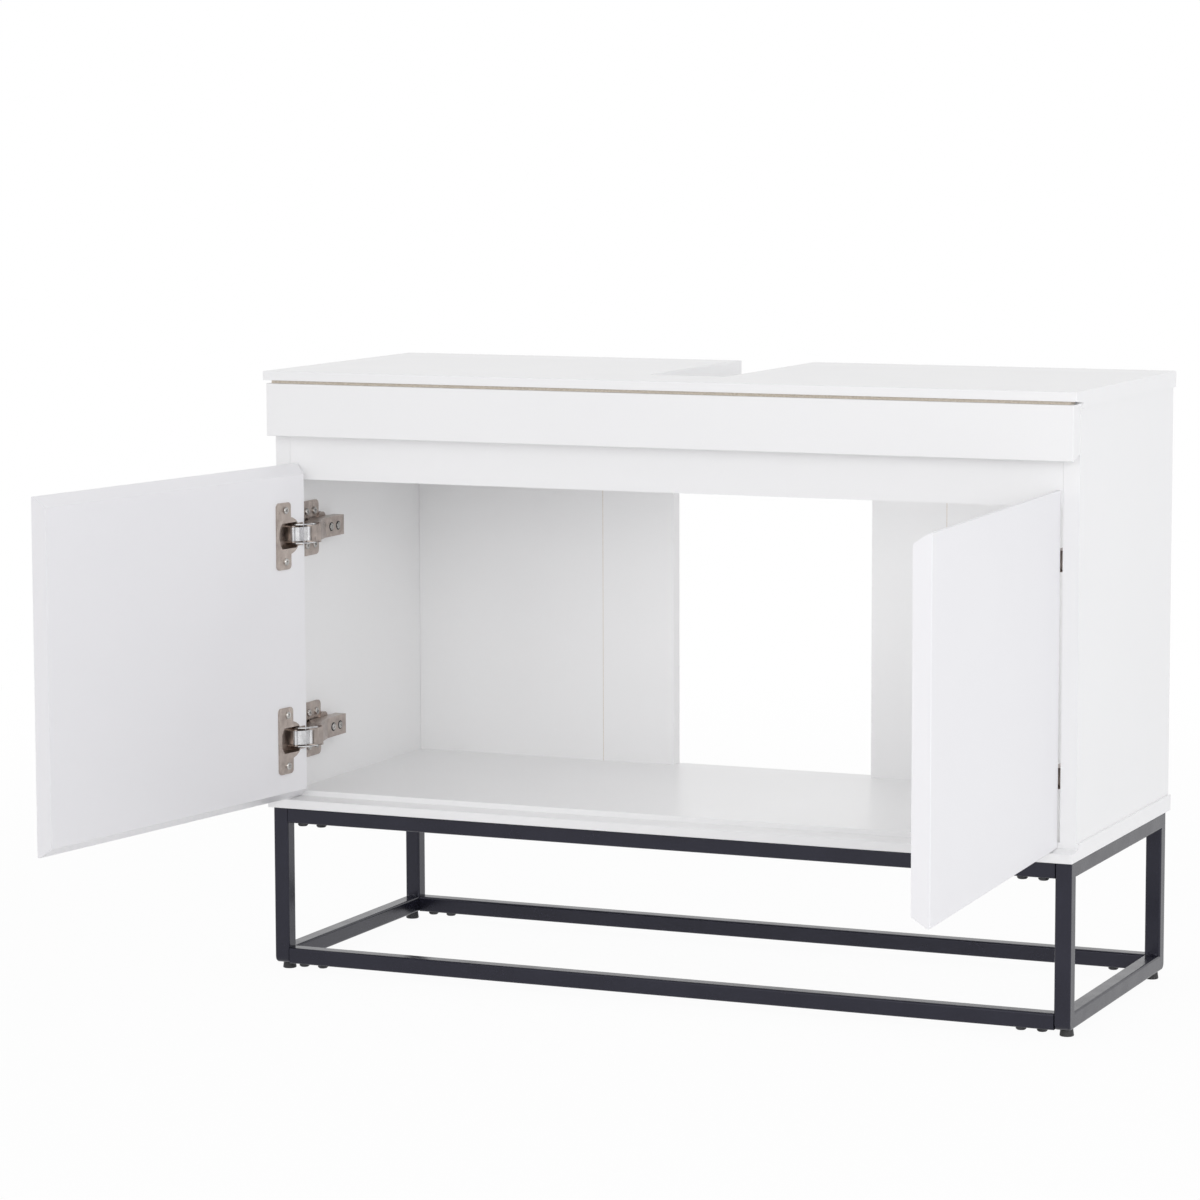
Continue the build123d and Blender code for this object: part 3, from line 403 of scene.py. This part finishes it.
def add_front_gap(materials):
    """The upper edge behind the narrow gap between the top board and the fixed front, as a beige
    strip: raw board in hue, and painted light in its paleness, which stands for the lit line in a
    gap that would lie in shade.
    """
    shape = bmesh.new()
    add_loft(shape, [[(x, y, z) for y, z in GAP_OUTLINE]
                     for x in (-GAP_HALF_LENGTH, GAP_HALF_LENGTH)])
    add_piece("front_gap_painted_light", shape, "cabinet", materials["raw_core_and_painted_light"])


def add_back_seams(materials):
    """The raw edge that shows as a brown line where each back panel meets its post."""
    shape = bmesh.new()
    half = SEAM_HALF_WIDTH
    for side, inward in SIDES:
        low, high = mm_box(side + "_back_post")
        x = low.x if inward > 0 else high.x
        front, back = low.y - SEAM_PROUD, low.y + SEAM_PROUD
        outline = [(x - half, back), (x - half / 2, front), (x + half / 2, front), (x + half, back)]
        add_loft(shape, [[(px, py, z) for px, py in outline] for z in (low.z, high.z)])
    add_piece("back_seams", shape, "cabinet", materials["raw_core_and_painted_light"])


def rounded_depth(across):
    """How deep the tube's rounded edge lies at a distance from its side."""
    return TUBE_CORNER - (TUBE_CORNER ** 2 - (TUBE_CORNER - across) ** 2) ** 0.5


def add_frame_walls(materials):
    """The side tubes' walls that face the window of each side frame, with rounded edges."""
    tube = tube_width()
    start = TUBE_WALL - WALL_OVERLAP
    middle = TUBE_WALL + (TUBE_CORNER - TUBE_WALL) / 2
    edge = [(start, rounded_depth(start)), (middle, rounded_depth(middle)), (TUBE_CORNER, 0.0)]
    section = (edge + [(tube - across, depth) for across, depth in reversed(edge)]
               + [(tube - start, TUBE_WALL), (start, TUBE_WALL)])
    for side, _ in SIDES:
        low, high = mm_box(side + "_side_frame")
        shape = bmesh.new()
        rings = []
        for dy, dz in ((-1, -1), (1, -1), (1, 1), (-1, 1)):
            y = (high.y if dy > 0 else low.y) - dy * tube
            z = (high.z if dz > 0 else low.z) - dz * tube
            rings.append([(low.x + across, y + dy * depth, z + dz * depth)
                          for across, depth in section])
        add_loft(shape, rings, closed=True)
        add_piece(side + "_frame_inner_walls", shape, "cabinet",
                  materials["black_steel"])


def weld_section(x, corner, inward, leg):
    """A fillet weld's outline: two legs along the tubes and a slightly crowned face."""
    crown = WELD_CROWN * leg
    outline = ((-WELD_ROOT, -WELD_ROOT), (leg, -WELD_ROOT), (leg, WELD_TOE),
               (crown, crown), (WELD_TOE, leg), (-WELD_ROOT, leg))
    return [(x, corner[0] + along_y * inward[0], corner[1] + along_z * inward[1])
            for along_y, along_z in outline]


def add_weld(shape, ends, corner, inward):
    """One rippled weld between two x places, thinner at its ends."""
    steps = WELD_RIPPLES * STEPS_A_RIPPLE
    sections = []
    for step in range(steps + 1):
        share = step / steps
        swell = WELD_SWELL * abs(sin(share * pi * WELD_RIPPLES))
        taper = min(1.0, WELD_END + WELD_TAPER * min(share, 1 - share))
        x = ends[0] + (ends[1] - ends[0]) * share
        sections.append(weld_section(x, corner, inward, WELD_LEG * taper * (WELD_BASE + swell)))
    add_loft(shape, sections)


def add_welds(materials):
    """Fillet welds in the inner corners of the side frames."""
    shape = bmesh.new()
    tube = tube_width()
    for side, _ in SIDES:
        low, high = mm_box(side + "_side_frame")
        ends = (low.x + WELD_INSET, high.x - WELD_INSET)
        for dy, y in ((1, low.y + tube), (-1, high.y - tube)):
            for dz, z in ((1, low.z + tube), (-1, high.z - tube)):
                add_weld(shape, ends, (y, z), (dy, dz))
    add_piece("frame_welds", shape, "cabinet", materials["black_steel"])


def solids_of(node):
    """The corner points, in mm, of each separate solid in a node."""
    shape = bmesh.new()
    shape.from_mesh(NODES[node].data)
    bmesh.ops.remove_doubles(shape, verts=shape.verts, dist=MERGE_REACH)
    waiting = set(shape.verts)
    solids = []
    while waiting:
        queue = [waiting.pop()]
        points = []
        while queue:
            corner = queue.pop()
            points.append(corner.co / MM)
            near = {edge.other_vert(corner) for edge in corner.link_edges} & waiting
            waiting -= near
            queue.extend(near)
        solids.append(sorted(points, key=tuple))
    shape.free()
    return solids


class ScrewHead:
    """Where a screw's head and driver recess are, read from its corner points."""

    def __init__(self, points, axis):
        self.axis = axis
        self.across = axis.orthogonal().normalized()
        self.up = axis.cross(self.across)
        tip = max(point.dot(axis) for point in points)
        face = [point for point in points if point.dot(axis) > tip - HEAD_FACE_REACH]
        middle = sum(face, Vector()) / len(face)
        self.tip = middle + axis * (tip - middle.dot(axis))
        self.recess = min(self.reach(point) for point in face)
        floor = [point.dot(axis) for point in points
                 if self.reach(point) < self.recess * RECESS_SLACK
                 and point.dot(axis) < tip - RECESS_FLOOR_REACH]
        self.depth = tip - max(floor)
        self.radius = max(self.reach(point) for point in points)
        edge = [point.dot(axis) for point in points
                if self.reach(point) > self.radius * HEAD_EDGE]
        self.seat = min(edge) - tip

    def reach(self, point):
        """The point's distance from the screw's axis."""
        offset = point - self.tip
        return (offset - self.axis * offset.dot(self.axis)).length

    def place(self, radius, angle, height):
        """A point by its radius and angle round the axis and its height over the head's tip."""
        return (self.tip + self.across * radius * cos(angle) + self.up * radius * sin(angle)
                + self.axis * height)


def screw_heads(node, axis):
    """The node's screw heads, always in the same order."""
    return sorted((ScrewHead(points, axis) for points in solids_of(node)),
                  key=lambda head: tuple(round(value, 1) for value in head.tip))


def add_cross_recess(shape, head):
    """Four sectors fill the round recess, and the cross for the driver stays open between them."""
    arm = RECESS_ARM / 2
    start = atan(arm / (head.recess * CROSS_ANGLE_SHARE))
    for quarter in range(4):
        turn = quarter * pi / 2 + CROSS_TURN
        angles = [turn + start + (pi / 2 - 2 * start) * step / SECTOR_STEPS
                  for step in range(SECTOR_STEPS + 1)]
        sections = []
        for height in (-head.depth, -CROSS_SINK):
            corner = head.place(arm * 2 ** 0.5, turn + pi / 4, height)
            sections.append([corner] + [head.place(head.recess, angle, height) for angle in angles])
        add_loft(shape, sections)


def add_seat_ring(shape, head):
    """The dark turned edge of the cam seat round an adjusting screw."""
    inner, outer = head.radius - SEAT_OVERLAP, head.radius + SEAT_BORDER
    low, high = head.seat - SEAT_SINK, head.seat + SEAT_HEIGHT
    profile = ((inner, low), (outer, low), (outer - SEAT_BEVEL, high), (inner, high))
    turns = [2 * pi * step / SEAT_STEPS for step in range(SEAT_STEPS)]
    add_loft(shape, [[head.place(radius, angle, height) for radius, height in profile]
                     for angle in turns], closed=True)


def door_axis(side):
    """The direction that a door's inner face looks in, at rest."""
    mesh = NODES[side + "_door"].data
    normal = max(mesh.polygons, key=lambda face: face.area).normal.copy()
    screws, cups = mm_box(side + "_cup_screws"), mm_box(side + "_hinge_cups")
    outward = (screws[0] + screws[1]) / 2 - (cups[0] + cups[1]) / 2
    return normal if normal.dot(outward) > 0 else -normal


def add_crosses(node, heads, body, materials):
    shape = bmesh.new()
    for head in heads:
        add_cross_recess(shape, head)
    add_piece(node + "_cross", shape, body, materials[SLOTS[node]])


def add_screw_details(materials):
    """Driver recesses in the hinge's screws, and the seats of the adjusting screws."""
    for side, direction in SIDES:
        inward = Vector((direction, 0, 0))
        cup, plate, adjusting = (side + kind for kind in
                                 ("_cup_screws", "_plate_screws", "_adjusting_screws"))
        adjusters = screw_heads(adjusting, inward)
        add_crosses(cup, screw_heads(cup, door_axis(side)), side + "_door", materials)
        add_crosses(plate, screw_heads(plate, inward), "cabinet", materials)
        add_crosses(adjusting, adjusters, "cabinet", materials)
        shape = bmesh.new()
        for head in adjusters:
            add_seat_ring(shape, head)
        add_piece(side + "_adjuster_seats", shape, "cabinet", materials["black_screw"])


def main():
    materials = make_materials()
    add_camera()
    set_world()
    for lamp in LAMPS:
        add_lamp(*lamp)
    add_floor()
    dress(materials)
    add_front_gap(materials)
    add_back_seams(materials)
    add_frame_walls(materials)
    add_welds(materials)
    add_screw_details(materials)
    bpy.context.scene.view_settings.view_transform = "Standard"


main()
